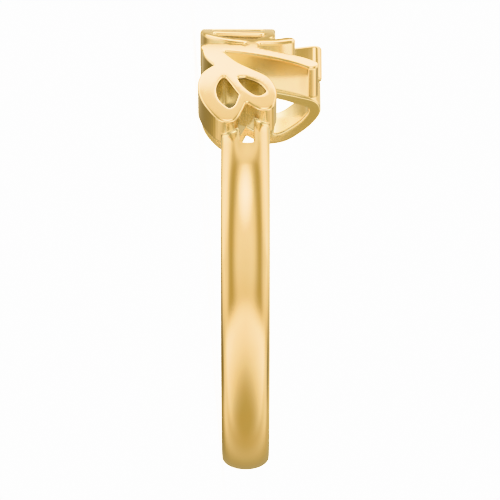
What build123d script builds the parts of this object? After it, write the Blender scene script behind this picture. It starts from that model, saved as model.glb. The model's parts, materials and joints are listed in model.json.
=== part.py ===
from build123d import *
import math
import os

# Flourish ring: one cast and soldered piece of yellow gold.
# A pierced plate of pen strokes is curved over the front of the finger, and a half-round
# shank, forked at each shoulder, runs round the back of it. The drawing has the finger hole
# along Z and the middle of the plate at -Y; the finished ring is then laid on its side.

# Finger hole
BORE_RADIUS = 8.65

# Pierced plate
PLATE_THICKNESS = 1.70
PLATE_HEIGHT = 5.85
PLATE_HALF_ARC = 10.20
PEN_WIDTH = 0.60

# Half-round shank, thicker at the back than at the shoulders
SHANK_WIDTH = 2.18
SHANK_FOOT = 1.075
SHANK_BACK = 1.47
SHANK_SHOULDER = 1.00
SHANK_DOME = 0.60

# Fork at each shoulder
SLOT_WIDTH = 0.62
SLOT_FOOT = 0.845
CROTCH_ARC = 10.72
PRONG_SINK = 0.35

PLATE_RADIUS = BORE_RADIUS + PLATE_THICKNESS

# The flourish is drawn on the unrolled plate in pen strokes. Each row is a point of a
# stroke: along the plate from its middle, as a share of the half arc; up from its lower
# edge, as a share of the height; and the pen's width, as a share of its usual width.
# A stroke is drawn on both halves, on the right or the left one alone, or in the middle.
BOTH = (1, -1)
RIGHT = (1,)
LEFT = (-1,)
MIDDLE = (1,)
STROKES = {
    "leaf": (MIDDLE, [(0, 0.075, 1.1), (0, 0.205, 1.9), (0, 0.36, 2.2), (0, 0.54, 1.2)]),
    "swag": (BOTH, [(0, 0.07, 1.0), (0.093, 0.058, 0.77), (0.196, 0.07, 0.97)]),
    "brace": (BOTH, [(0, 0.547, 1.1), (0.113, 0.562, 0.8), (0.229, 0.54, 1.1)]),
    "rib": (BOTH, [(0.196, 0.072, 1.0), (0.196, 0.188, 1.53), (0.208, 0.342, 1.63), (0.229, 0.513, 1.3)]),
    "cap": (BOTH, [(0.229, 0.54, 1.15), (0.299, 0.559, 0.83), (0.38, 0.487, 0.95)]),
    "bow": (BOTH, [(0.196, 0.068, 1.03), (0.279, 0.092, 0.77), (0.343, 0.197, 0.73), (0.378, 0.35, 0.93),
                   (0.384, 0.496, 1.0)]),
    "low stem": (RIGHT, [(0.384, 0.489, 1.03), (0.382, 0.598, 0.93), (0.359, 0.704, 1.03)]),
    "tall stem": (LEFT, [(0.384, 0.489, 1.03), (0.396, 0.675, 1.0), (0.367, 0.926, 1.2)]),
    "collar": (BOTH, [(0.39, 0.419, 1.1), (0.485, 0.419, 1.2)]),
    "slant": (BOTH, [(0.457, 0.096, 1.43), (0.463, 0.239, 1.47), (0.494, 0.419, 1.3), (0.544, 0.615, 1.03),
                     (0.588, 0.778, 1.1), (0.624, 0.875, 1.1)]),
    "sweep": (LEFT, [(0.584, 0.761, 1.03), (0.625, 0.903, 1.07), (0.691, 0.933, 1.03), (0.77, 0.879, 1.03),
                     (0.838, 0.786, 1.07), (0.894, 0.667, 1.13), (0.91, 0.53, 1.23)]),
    "web": (BOTH, [(0.465, 0.106, 1.53), (0.539, 0.137, 1.67), (0.627, 0.232, 1.63), (0.681, 0.328, 1.47)]),
    "brow": (BOTH, [(0.647, 0.26, 1.5), (0.691, 0.39, 1.13), (0.745, 0.513, 0.97), (0.824, 0.566, 0.83),
                    (0.884, 0.52, 1.47)]),
    "chin": (BOTH, [(0.681, 0.243, 1.17), (0.745, 0.28, 0.77), (0.809, 0.337, 0.77), (0.868, 0.427, 1.03),
                    (0.886, 0.506, 1.4)]),
    "keel": (BOTH, [(0.647, 0.209, 1.53), (0.716, 0.109, 1.6), (0.804, 0.08, 1.4), (0.892, 0.123, 1.23),
                    (0.957, 0.236, 1.33), (0.922, 0.308, 0.8), (0.838, 0.359, 0.77)]),
}
STATIONS = 3


def stroke_rows(rows, side):
    """The rows of a stroke in millimetres, as vectors of along, up and pen width."""
    return [
        Vector(side * along * PLATE_HALF_ARC, up * PLATE_HEIGHT, pen * PEN_WIDTH) for along, up, pen in rows
    ]


def pen_line(points):
    """A smooth line of vectors through the points: a centripetal Catmull-Rom curve."""
    ends = [points[0] * 2 - points[1], *points, points[-1] * 2 - points[-2]]
    line = [points[0]]
    for p in zip(ends, ends[1:], ends[2:], ends[3:]):
        knots = [0.0]
        for a, b in zip(p, p[1:]):
            knots.append(knots[-1] + math.sqrt(math.hypot(b.X - a.X, b.Y - a.Y)))
        for station in range(1, STATIONS + 1):
            t = knots[1] + (knots[2] - knots[1]) * station / STATIONS
            level = list(p)
            for reach in (1, 2, 3):
                level = [
                    (level[i] * (hi - t) + level[i + 1] * (t - lo)) * (1 / (hi - lo))
                    for i, (lo, hi) in enumerate(blend_spans(knots, reach))
                ]
            line.append(level[0])
    return line


def blend_spans(knots, reach):
    """The knot spans that each level of the Catmull-Rom blend runs over."""
    if reach == 3:
        return [(knots[1], knots[2])]
    return [(knots[i], knots[i + reach]) for i in range(4 - reach)]


def stroke_sides(line):
    """The pen's left and right edge along a line, and its round tip at each end."""
    left, right, headings = [], [], []
    for before, here, after in zip([line[0], *line], line, [*line[1:], line[-1]]):
        run = Vector(after.X - before.X, after.Y - before.Y).normalized()
        across = Vector(-run.Y, run.X) * (here.Z / 2)
        left.append(Vector(here.X, here.Y) + across)
        right.append(Vector(here.X, here.Y) - across)
        headings.append(run)
    tail = Vector(line[0].X, line[0].Y) - headings[0] * (line[0].Z / 2)
    tip = Vector(line[-1].X, line[-1].Y) + headings[-1] * (line[-1].Z / 2)
    return left, right, tail, tip


def on_plate(point):
    """A point of the unrolled plate, as it is seen from straight in front of the curved one."""
    return Vector(PLATE_RADIUS * math.sin(point.X / PLATE_RADIUS), 0, point.Y)


def stroke_face(rows, side):
    """One stroke's outline as a flat face in front of the plate."""
    left, right, tail, tip = stroke_sides(pen_line(stroke_rows(rows, side)))
    left = [on_plate(p) for p in left]
    right = [on_plate(p) for p in right]
    edges = [
        Spline(*left),
        ThreePointArc(left[-1], on_plate(tip), right[-1]),
        Spline(*reversed(right)),
        ThreePointArc(right[0], on_plate(tail), left[0]),
    ]
    return Face(Wire(edges))


def flourish():
    """The outline of all strokes together, fused into one pierced flat face."""
    faces = [stroke_face(rows, side) for sides, rows in STROKES.values() for side in sides]
    return faces[0].fuse(*faces[1:])


def plate():
    """The pierced plate: the flourish laid on the outer cylinder and given radial walls."""
    prism = extrude(flourish(), amount=2 * PLATE_RADIUS, dir=(0, -1, 0))
    outside = Solid.make_cylinder(PLATE_RADIUS, 3 * PLATE_HEIGHT, Plane.XY.offset(-PLATE_HEIGHT))
    skin = outside.faces().filter_by(GeomType.CYLINDER)[0]
    return Solid.thicken(skin.intersect(prism)[0], -PLATE_THICKNESS)


def front_sector(radius, half_angle, foot, height):
    """A slice of a round bar, open towards the plate: half_angle degrees to each side of -Y."""
    start = Plane(origin=(0, 0, foot), x_dir=(1, 0, 0), z_dir=(0, 0, 1)).rotated((0, 0, -90 - half_angle))
    return Solid.make_cylinder(radius, height, start, 2 * half_angle)


def plate_angle(along):
    """The angle round the finger, in degrees, of a length along the unrolled plate."""
    return math.degrees(along / PLATE_RADIUS)


def stroke_reach(name):
    """How far along the plate the outside of a stroke comes."""
    return max(p.X + p.Z / 2 for p in stroke_rows(STROKES[name][1], 1))


def shank_circle():
    """The radius of the shank's outer circle, and how far its centre lies behind the hole's."""
    back = BORE_RADIUS + SHANK_BACK
    shoulder = BORE_RADIUS + SHANK_SHOULDER
    forward = shoulder * math.cos(PLATE_HALF_ARC / PLATE_RADIUS)
    shift = (back**2 - shoulder**2) / (2 * (back + forward))
    return back - shift, shift


def shank():
    """The half-round shank, with two prongs at each shoulder that run into the plate's lobes."""
    radius, shift = shank_circle()
    wall = radius - SHANK_DOME
    middle = SHANK_FOOT + SHANK_WIDTH / 2
    section = Plane.XZ * (
        Pos(wall / 2, middle) * Rectangle(wall, SHANK_WIDTH)
        + Pos(wall, middle) * Ellipse(SHANK_DOME, SHANK_WIDTH / 2)
    )
    section = section & Plane.XZ * Pos(wall, middle) * Rectangle(2 * wall, 2 * SHANK_WIDTH)
    body = Pos(0, shift, 0) * revolve(section, Axis.Z)
    reach = 2 * PLATE_RADIUS
    bore = Pos(0, 0, middle) * Cylinder(BORE_RADIUS, 2 * SHANK_WIDTH)
    slot_foot = SHANK_FOOT + SLOT_FOOT
    slot = front_sector(reach, plate_angle(CROTCH_ARC), slot_foot, SLOT_WIDTH)
    low_end = front_sector(
        reach, plate_angle(stroke_reach("keel") - PRONG_SINK), 0, slot_foot + SLOT_WIDTH / 2
    )
    high_end = front_sector(
        reach, plate_angle(stroke_reach("brow") - PRONG_SINK), slot_foot + SLOT_WIDTH / 2, PLATE_HEIGHT
    )
    return body - bore - slot - low_end - high_end


def ring():
    """The whole ring as drawn: the prongs are soldered into the plate, so it is one solid."""
    return plate().fuse(shank().solid())


def rest_tilt():
    """How far the ring leans, in degrees, when it lies on its side.

    It rests on the back of the shank and on the lowest points of the plate's inner edge,
    which hang below the shank.
    """
    back = BORE_RADIUS + SHANK_BACK - SHANK_DOME
    slopes = [0.0]
    for sides, rows in STROKES.values():
        left, right, _, _ = stroke_sides(pen_line(stroke_rows(rows, sides[0])))
        for p in left + right:
            slopes.append((SHANK_FOOT - p.Y) / (back + BORE_RADIUS * math.cos(p.X / PLATE_RADIUS)))
    return math.degrees(math.atan(max(slopes)))


def resting_place(shape):
    """Where the ring goes when it lies on its side: leaning back, on the floor, centred on the origin."""
    leaning = Rot(-rest_tilt(), 0, 0)
    box = (leaning * shape).bounding_box()
    return Pos(-box.center().X, -box.center().Y, -box.min.Z) * leaning


def main():
    """Makes the ring and writes it."""
    drawn = ring()
    os.makedirs("parts", exist_ok=True)
    export_step(resting_place(drawn) * drawn, "parts/flourish_ring.step")


main()
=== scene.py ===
"""Looks of the flourish ring: the cast gold body, its polish, and the studio that it is seen in.

The ring is drawn as sheets of metal wrapped round the finger hole. A point of a sheet is given
by how far along the unrolled plate it lies (s), how high up the ring (z) and how far from the
middle of the hole (r), all in millimetres. The pierced plate and the forked shank are two such
sheets, and they are joined into one closed body.
"""

import json
import logging
import math
from collections.abc import Callable, Sequence
from dataclasses import dataclass, field
from enum import Enum

import bpy
import numpy as np
from mathutils import Matrix, Vector
from mathutils.geometry import delaunay_2d_cdt


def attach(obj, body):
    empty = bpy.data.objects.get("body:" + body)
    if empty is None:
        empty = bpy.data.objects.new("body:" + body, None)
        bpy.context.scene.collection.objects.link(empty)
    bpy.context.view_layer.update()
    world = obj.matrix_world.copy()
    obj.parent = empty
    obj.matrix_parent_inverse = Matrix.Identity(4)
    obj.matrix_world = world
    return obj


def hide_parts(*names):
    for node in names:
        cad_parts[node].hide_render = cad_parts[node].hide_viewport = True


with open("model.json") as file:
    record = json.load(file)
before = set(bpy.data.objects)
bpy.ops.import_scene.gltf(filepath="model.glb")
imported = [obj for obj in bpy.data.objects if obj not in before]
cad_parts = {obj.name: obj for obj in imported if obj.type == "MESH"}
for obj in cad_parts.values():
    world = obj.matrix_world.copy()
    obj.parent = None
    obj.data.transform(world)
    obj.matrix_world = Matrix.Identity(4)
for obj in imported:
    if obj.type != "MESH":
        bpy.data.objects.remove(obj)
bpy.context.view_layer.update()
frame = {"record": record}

LOG = logging.getLogger("flourish_ring")
MM = 0.001

Socket = bpy.types.NodeSocket
Colour = tuple[float, float, float]


class Side(Enum):
    """Which half of the plate a pen stroke is drawn on."""

    MIDDLE = "middle"
    RIGHT = "right"
    LEFT = "left"
    BOTH = "both"

    @property
    def signs(self) -> tuple[int, ...]:
        """The sign of the length along the plate, for each copy of the stroke."""
        return {Side.BOTH: (1, -1), Side.LEFT: (-1,)}.get(self, (1,))


@dataclass(frozen=True)
class Stroke:
    """A pen stroke of the flourish.

    Each station is a point of the stroke: along the plate as a share of its half arc, up as a
    share of its height, and the pen's width as a share of its usual width.
    """

    name: str
    side: Side
    stations: tuple[tuple[float, float, float], ...]


STROKES = (
    Stroke("leaf", Side.MIDDLE, ((0, 0.075, 1.1), (0, 0.205, 1.9), (0, 0.36, 2.2), (0, 0.54, 1.2))),
    Stroke("swag", Side.BOTH, ((0, 0.07, 1.0), (0.093, 0.058, 0.77), (0.196, 0.07, 0.97))),
    Stroke("brace", Side.BOTH, ((0, 0.547, 1.1), (0.113, 0.562, 0.8), (0.229, 0.54, 1.1))),
    Stroke("rib", Side.BOTH, (
        (0.196, 0.072, 1.0), (0.196, 0.188, 1.53), (0.208, 0.342, 1.63), (0.229, 0.513, 1.3),
    )),
    Stroke("cap", Side.BOTH, ((0.229, 0.54, 1.15), (0.299, 0.559, 0.83), (0.38, 0.487, 0.95))),
    Stroke("bow", Side.BOTH, (
        (0.196, 0.068, 1.03), (0.279, 0.092, 0.77), (0.343, 0.197, 0.73), (0.378, 0.35, 0.93),
        (0.384, 0.496, 1.0),
    )),
    Stroke("low stem", Side.RIGHT, ((0.384, 0.489, 1.03), (0.382, 0.598, 0.93), (0.359, 0.704, 1.03))),
    Stroke("tall stem", Side.LEFT, ((0.384, 0.489, 1.03), (0.396, 0.675, 1.0), (0.367, 0.926, 1.2))),
    Stroke("collar", Side.BOTH, ((0.39, 0.419, 1.1), (0.485, 0.419, 1.2))),
    Stroke("slant", Side.BOTH, (
        (0.457, 0.096, 1.43), (0.463, 0.239, 1.47), (0.494, 0.419, 1.3), (0.544, 0.615, 1.03),
        (0.588, 0.778, 1.1), (0.624, 0.875, 1.1),
    )),
    Stroke("sweep", Side.LEFT, (
        (0.584, 0.761, 1.03), (0.625, 0.903, 1.07), (0.691, 0.933, 1.03), (0.77, 0.879, 1.03),
        (0.838, 0.786, 1.07), (0.894, 0.667, 1.13), (0.91, 0.53, 1.23),
    )),
    Stroke("web", Side.BOTH, (
        (0.465, 0.106, 1.53), (0.539, 0.137, 1.67), (0.627, 0.232, 1.63), (0.681, 0.328, 1.47),
    )),
    Stroke("brow", Side.BOTH, (
        (0.647, 0.26, 1.5), (0.691, 0.39, 1.13), (0.745, 0.513, 0.97), (0.824, 0.566, 0.83),
        (0.884, 0.52, 1.47),
    )),
    Stroke("chin", Side.BOTH, (
        (0.681, 0.243, 1.17), (0.745, 0.28, 0.77), (0.809, 0.337, 0.77), (0.868, 0.427, 1.03),
        (0.886, 0.506, 1.4),
    )),
    Stroke("keel", Side.BOTH, (
        (0.647, 0.209, 1.53), (0.716, 0.109, 1.6), (0.804, 0.08, 1.4), (0.892, 0.123, 1.23),
        (0.957, 0.236, 1.33), (0.922, 0.308, 0.8), (0.838, 0.359, 0.77),
    )),
)


@dataclass(frozen=True)
class RingSizes:
    """The sizes that the plate and the shank share, in millimetres.

    Attributes:
        bore: The finger hole's radius.
        plate_thickness: The plate's thickness.
        plate_height: Its height.
        half_arc: How far it reaches along its outer face from its middle.
        pen: The pen's usual width.
    """

    bore: float = 8.65
    plate_thickness: float = 1.70
    plate_height: float = 5.85
    half_arc: float = 10.20
    pen: float = 0.60

    @property
    def plate_radius(self) -> float:
        """The radius of the plate's outer face."""
        return self.bore + self.plate_thickness

    @property
    def round_trip(self) -> float:
        """The length once round the unrolled plate."""
        return 2 * math.pi * self.plate_radius


@dataclass(frozen=True)
class RestingPlace:
    """Where the drawn ring goes when it lies on its side.

    The drawing has the finger hole along z and the middle of the plate at -y. The ring is
    turned about x until its hole has the direction that the record states, and moved until
    the middle of the shank comes to the record's mount.

    Attributes:
        shank_middle: The height of the shank's middle in the drawing, in millimetres.
        axis: The direction of the hole.
        point: The mount's place, in millimetres.
    """

    shank_middle: float
    axis: tuple[float, float, float]
    point: tuple[float, float, float]

    @classmethod
    def from_record(cls, record: dict, shank_middle: float) -> "RestingPlace":
        """Reads the finger hole's place.

        Args:
            record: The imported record.
            shank_middle: The height of the shank's middle in the drawing, in millimetres.

        Returns:
            The ring's place on the floor.
        """
        hole = next(m for m in record["mounts"] if m["name"] == "finger_hole")
        return cls(shank_middle, tuple(hole["axis"]), tuple(v / MM for v in hole["pos_m"]))

    def apply(self, points: np.ndarray) -> np.ndarray:
        """Turns and moves drawn points.

        y' = y cos a + z sin a and z' = z cos a - y sin a, then the shift.

        Args:
            points: Points of the drawing, one row each, in millimetres.

        Returns:
            The points on the floor, in millimetres.
        """
        length = math.hypot(self.axis[1], self.axis[2])
        sine, cosine = self.axis[1] / length, self.axis[2] / length
        turn = np.array([[1, 0, 0], [0, cosine, sine], [0, -sine, cosine]])
        shift = np.array(self.point) - turn @ np.array([0, 0, self.shank_middle])
        return points @ turn.T + shift


def put_in_scene(name: str, data: bpy.types.ID) -> bpy.types.Object:
    """Makes an object of a mesh, a lamp or a lens, and puts it in the scene.

    Args:
        name: The object's name.
        data: What it is made of.

    Returns:
        The object.
    """
    made = bpy.data.objects.new(name, data)
    bpy.context.scene.collection.objects.link(made)
    return made


def pen_line(stations: np.ndarray, per_span: int = 8) -> np.ndarray:
    """A smooth line through the stations: a centripetal Catmull-Rom curve.

    The knots are apart by the square root of the distance between two stations, and each
    span is the usual pyramid of three linear blends between them.

    Args:
        stations: Rows of along, up and width.
        per_span: How many pieces each span is cut into.

    Returns:
        Rows of along, up and width on the line.
    """
    ends = np.vstack([2 * stations[0] - stations[1], stations, 2 * stations[-1] - stations[-2]])
    gaps = np.sqrt(np.hypot(*np.diff(ends[:, :2], axis=0).T))
    rows = [stations[:1]]
    for i in range(len(stations) - 1):
        k = np.concatenate([[0.0], np.cumsum(gaps[i : i + 3])])
        t = np.linspace(k[1], k[2], per_span + 1)[1:, None]
        p = ends[i : i + 4]
        a = [(p[j] * (k[j + 1] - t) + p[j + 1] * (t - k[j])) / (k[j + 1] - k[j]) for j in range(3)]
        b = [(a[j] * (k[j + 2] - t) + a[j + 1] * (t - k[j])) / (k[j + 2] - k[j]) for j in range(2)]
        rows.append((b[0] * (k[2] - t) + b[1] * (t - k[1])) / (k[2] - k[1]))
    return np.vstack(rows)


@dataclass
class Flourish:
    """The pen strokes of the unrolled plate, melted together as a distance field.

    Attributes:
        sizes: The sizes shared with the shank.
        strokes: The pen strokes.
        melt: How widely the corners between two strokes are rounded.
        far: How far from a stroke its distance is worked out.
    """

    sizes: RingSizes
    strokes: Sequence[Stroke] = STROKES
    melt: float = 0.03
    far: float = 1.5

    def __post_init__(self) -> None:
        """Works out each stroke's pen line once."""
        scale = np.array([self.sizes.half_arc, self.sizes.plate_height, self.sizes.pen])
        self.lines = [
            pen_line(np.array(stroke.stations) * scale * np.array([sign, 1, 1]))
            for stroke in self.strokes
            for sign in stroke.side.signs
        ]

    def depth(self, points: np.ndarray) -> tuple[np.ndarray, np.ndarray]:
        """How far outside the metal each point is, and the direction straight out of it.

        A stroke's distance is the distance to the nearest point of its pen line less half the
        pen's width there. The strokes are joined by d = -m ln(sum of exp(-d_i / m)), which
        rounds the corners between them, and the direction is the same weighted mean.

        Args:
            points: Rows of s and z.

        Returns:
            The distances, negative inside, and the unit directions.
        """
        weight = np.full(len(points), len(self.lines) * math.exp(-self.far / self.melt))
        slope = np.zeros((len(points), 2))
        for line in self.lines:
            low = line[:, :2].min(0) - self.far
            high = line[:, :2].max(0) + self.far
            near = np.flatnonzero(((points > low) & (points < high)).all(1))
            if not len(near):
                continue
            p = points[near, None, :]
            start, run = line[None, :-1, :2], np.diff(line[:, :2], axis=0)[None]
            t = np.clip(((p - start) * run).sum(2) / (run**2).sum(2), 0, 1)
            away = p - start - t[..., None] * run
            length = np.hypot(away[..., 0], away[..., 1])
            half = (line[None, :-1, 2] + t * np.diff(line[:, 2])[None]) / 2
            best = (length - half).argmin(1)
            rows = np.arange(len(near))
            distance = (length - half)[rows, best]
            share = np.exp(-np.minimum(distance, self.far) / self.melt)
            weight[near] += share
            straight = away[rows, best] / np.maximum(length[rows, best], 1e-9)[:, None]
            slope[near] += share[:, None] * straight
        distance = -self.melt * np.log(weight)
        size = np.maximum(np.hypot(slope[:, 0], slope[:, 1]), 1e-12)
        return distance, slope / size[:, None]


def zero_pieces(value: np.ndarray) -> tuple[np.ndarray, np.ndarray]:
    """Finds where a grid of values crosses zero, cell by cell (marching squares).

    Each cell whose corners differ in sign gives one or two short pieces of line. Their ends lie
    on the cell's sides, and the neighbouring cells share them.

    Args:
        value: The value at each grid node.

    Returns:
        Rows of two node numbers, one for each side that is crossed, and rows of the numbers of
        two such sides, one for each piece of line.
    """
    inside = value < 0
    number = np.arange(value.size).reshape(value.shape)
    corner = [(0, 0), (1, 0), (1, 1), (0, 1)]

    def at(array: np.ndarray, i: int) -> np.ndarray:
        """One corner's value for every cell."""
        a, b = corner[i]
        return array[a : array.shape[0] - 1 + a, b : array.shape[1] - 1 + b]

    case = sum(at(inside, i).astype(int) << i for i in range(4))
    sides = [np.stack([at(number, i), at(number, (i + 1) % 4)], -1) for i in range(4)]
    table = {
        1: [(0, 3)], 2: [(1, 0)], 4: [(2, 1)], 8: [(3, 2)],
        3: [(1, 3)], 6: [(2, 0)], 12: [(3, 1)], 9: [(0, 2)],
        7: [(2, 3)], 14: [(3, 0)], 13: [(0, 1)], 11: [(1, 2)],
        5: [(0, 3), (2, 1)], 10: [(1, 0), (3, 2)],
    }
    starts, ends = [], []
    for number_of_case, pairs in table.items():
        for a, b in pairs:
            hit = case == number_of_case
            starts.append(sides[a][hit])
            ends.append(sides[b][hit])
    crossed = np.sort(np.vstack(starts + ends), axis=1)
    unique, where = np.unique(crossed, axis=0, return_inverse=True)
    return unique, where.reshape(2, -1).T


@dataclass
class Outline:
    """Closed lines in the unrolled plane, with the metal on the left of each.

    Attributes:
        points: Rows of s and z.
        inward: The unit direction into the metal at each point.
        pieces: Rows of two point numbers, one row for each short piece of line.
    """

    points: np.ndarray
    inward: np.ndarray
    pieces: np.ndarray

    @classmethod
    def from_field(
        cls,
        depth: Callable[[np.ndarray], tuple[np.ndarray, np.ndarray]],
        low: Sequence[float],
        high: Sequence[float],
        step: float,
        evenings: int = 24,
        settlings: int = 2,
    ) -> "Outline":
        """Finds the zero line of a distance field on a grid, and evens out its points.

        Each point moves half the way to the middle of its two neighbours and then back onto the
        zero line by p - d n, over and over.

        Args:
            depth: Gives the distances d and the directions n for rows of s and z.
            low: The grid's lowest s and z.
            high: The grid's highest s and z.
            step: The grid's spacing.
            evenings: How often the points are evened out.
            settlings: How often they are moved back onto the zero line each time.

        Returns:
            The outline.
        """
        s = np.arange(low[0], high[0] + step, step)
        z = np.arange(low[1], high[1] + step, step)
        nodes = np.stack(np.meshgrid(s, z, indexing="ij"), -1).reshape(-1, 2)
        value = depth(nodes)[0]
        crossed, pieces = zero_pieces(value.reshape(len(s), len(z)))
        first, second = crossed.T
        share = value[first] / (value[first] - value[second])
        points = nodes[first] + share[:, None] * (nodes[second] - nodes[first])
        after, before = np.zeros(len(points), int), np.zeros(len(points), int)
        after[pieces[:, 0]] = pieces[:, 1]
        before[pieces[:, 1]] = pieces[:, 0]
        for _ in range(evenings):
            points = points + 0.5 * ((points[after] + points[before]) / 2 - points)
            for _ in range(settlings):
                distance, out = depth(points)
                points = points - distance[:, None] * out
        return cls(points, -depth(points)[1], pieces).facing_left()

    @classmethod
    def from_corners(cls, corners: np.ndarray, radii: np.ndarray, step: float) -> "Outline":
        """A closed line of straight runs with a quarter round at each corner.

        Args:
            corners: Rows of s and z, with the metal on the left of the way round.
            radii: The radius of the round at each corner.
            step: The longest piece of line.

        Returns:
            The outline.
        """
        before, after = np.roll(corners, 1, 0), np.roll(corners, -1, 0)
        come = (corners - before) / np.linalg.norm(corners - before, axis=1)[:, None]
        go = (after - corners) / np.linalg.norm(after - corners, axis=1)[:, None]
        entry = corners - come * radii[:, None]
        leave = corners + go * radii[:, None]
        points, inward = [], []
        for i in range(len(corners)):
            bends = max(3, math.ceil(math.pi / 2 * radii[i] / step))
            angle = np.linspace(0, math.pi / 2, bends + 1)[:, None]
            points.append(entry[i] + radii[i] * (np.sin(angle) * come[i] + (1 - np.cos(angle)) * go[i]))
            heading = np.cos(angle) * come[i] + np.sin(angle) * go[i]
            inward.append(np.stack([-heading[:, 1], heading[:, 0]], 1))
            j = (i + 1) % len(corners)
            run = entry[j] - leave[i]
            count = max(1, math.ceil(np.linalg.norm(run) / step))
            share = np.arange(1, count)[:, None] / count
            points.append(leave[i] + share * run)
            inward.append(np.repeat([[-go[i][1], go[i][0]]], count - 1, 0))
        points, inward = np.vstack(points), np.vstack(inward)
        number = np.arange(len(points))
        return cls(points, inward, np.stack([number, np.roll(number, -1)], 1))

    def facing_left(self) -> "Outline":
        """Turns each piece so that the metal lies on its left.

        Returns:
            The same line with its pieces turned.
        """
        run = self.points[self.pieces[:, 1]] - self.points[self.pieces[:, 0]]
        into = self.inward[self.pieces[:, 0]] + self.inward[self.pieces[:, 1]]
        wrong = run[:, 0] * into[:, 1] - run[:, 1] * into[:, 0] < 0
        pieces = np.where(wrong[:, None], self.pieces[:, ::-1], self.pieces)
        return Outline(self.points, self.inward, pieces)


def quarter_round(radius: float, distance: np.ndarray | float) -> np.ndarray:
    """How far a round of radius b departs from its corner's side.

    At a distance d from the corner it is b - sqrt(b^2 - (b - d)^2), and nothing past b.

    Args:
        radius: The round's radius.
        distance: The distances from the corner.

    Returns:
        How far it departs at each.
    """
    short = np.clip(radius - np.asarray(distance, float), 0, radius)
    return radius - np.sqrt(np.maximum(radius**2 - short**2, 0))


@dataclass(frozen=True)
class EdgeRound:
    """The small round along a sheet's edges, cut by polishing.

    Attributes:
        radius: The round's radius.
        insets: How far in from the edge the rows of points lie, the edge itself last.
    """

    radius: float
    insets: tuple[float, ...]

    def drop(self, inset: float) -> float:
        """How much the round takes off at an inset."""
        return float(quarter_round(self.radius, inset))


def turned_left(points: np.ndarray, triangles: np.ndarray) -> np.ndarray:
    """Turns each flat triangle so that its corners run anticlockwise.

    Args:
        points: Rows of s and z.
        triangles: Rows of three point numbers.

    Returns:
        The triangles, with those of negative area reversed.
    """
    a = points[triangles[:, 1]] - points[triangles[:, 0]]
    b = points[triangles[:, 2]] - points[triangles[:, 0]]
    area = a[:, 0] * b[:, 1] - a[:, 1] * b[:, 0]
    return np.where((area < 0)[:, None], triangles[:, ::-1], triangles)


def left_of_line(triangles: np.ndarray, line: np.ndarray, count: int) -> np.ndarray:
    """Which triangles lie in the metal.

    A triangle that has a piece of the line as one of its sides is in the metal where the two
    run the same way, and outside where they run against each other. Every other triangle is
    what its neighbours are, passed on from side to side until none is left.

    Args:
        triangles: Rows of three point numbers, anticlockwise.
        line: Rows of two point numbers, with the metal on the left.
        count: How many points there are.

    Returns:
        True for each triangle in the metal.
    """
    sides = np.stack([triangles, np.roll(triangles, -1, 1)], -1).reshape(-1, 2)
    owner = np.repeat(np.arange(len(triangles)), 3)
    same = np.isin(sides[:, 0] * count + sides[:, 1], line[:, 0] * count + line[:, 1])
    against = np.isin(sides[:, 1] * count + sides[:, 0], line[:, 0] * count + line[:, 1])
    label = np.zeros(len(triangles), int)
    label[owner[same]] = 1
    label[owner[against]] = -1
    free = np.flatnonzero(~same & ~against)
    key = np.sort(sides[free], 1) @ np.array([count, 1])
    order = np.argsort(key, kind="stable")
    pair = np.flatnonzero(key[order][:-1] == key[order][1:])
    a, b = owner[free][order][pair], owner[free][order][pair + 1]
    for _ in range(len(triangles)):
        before = np.count_nonzero(label)
        label[a] = np.where(label[a] == 0, label[b], label[a])
        label[b] = np.where(label[b] == 0, label[a], label[b])
        if np.count_nonzero(label) == before:
            break
    return label > 0


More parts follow.
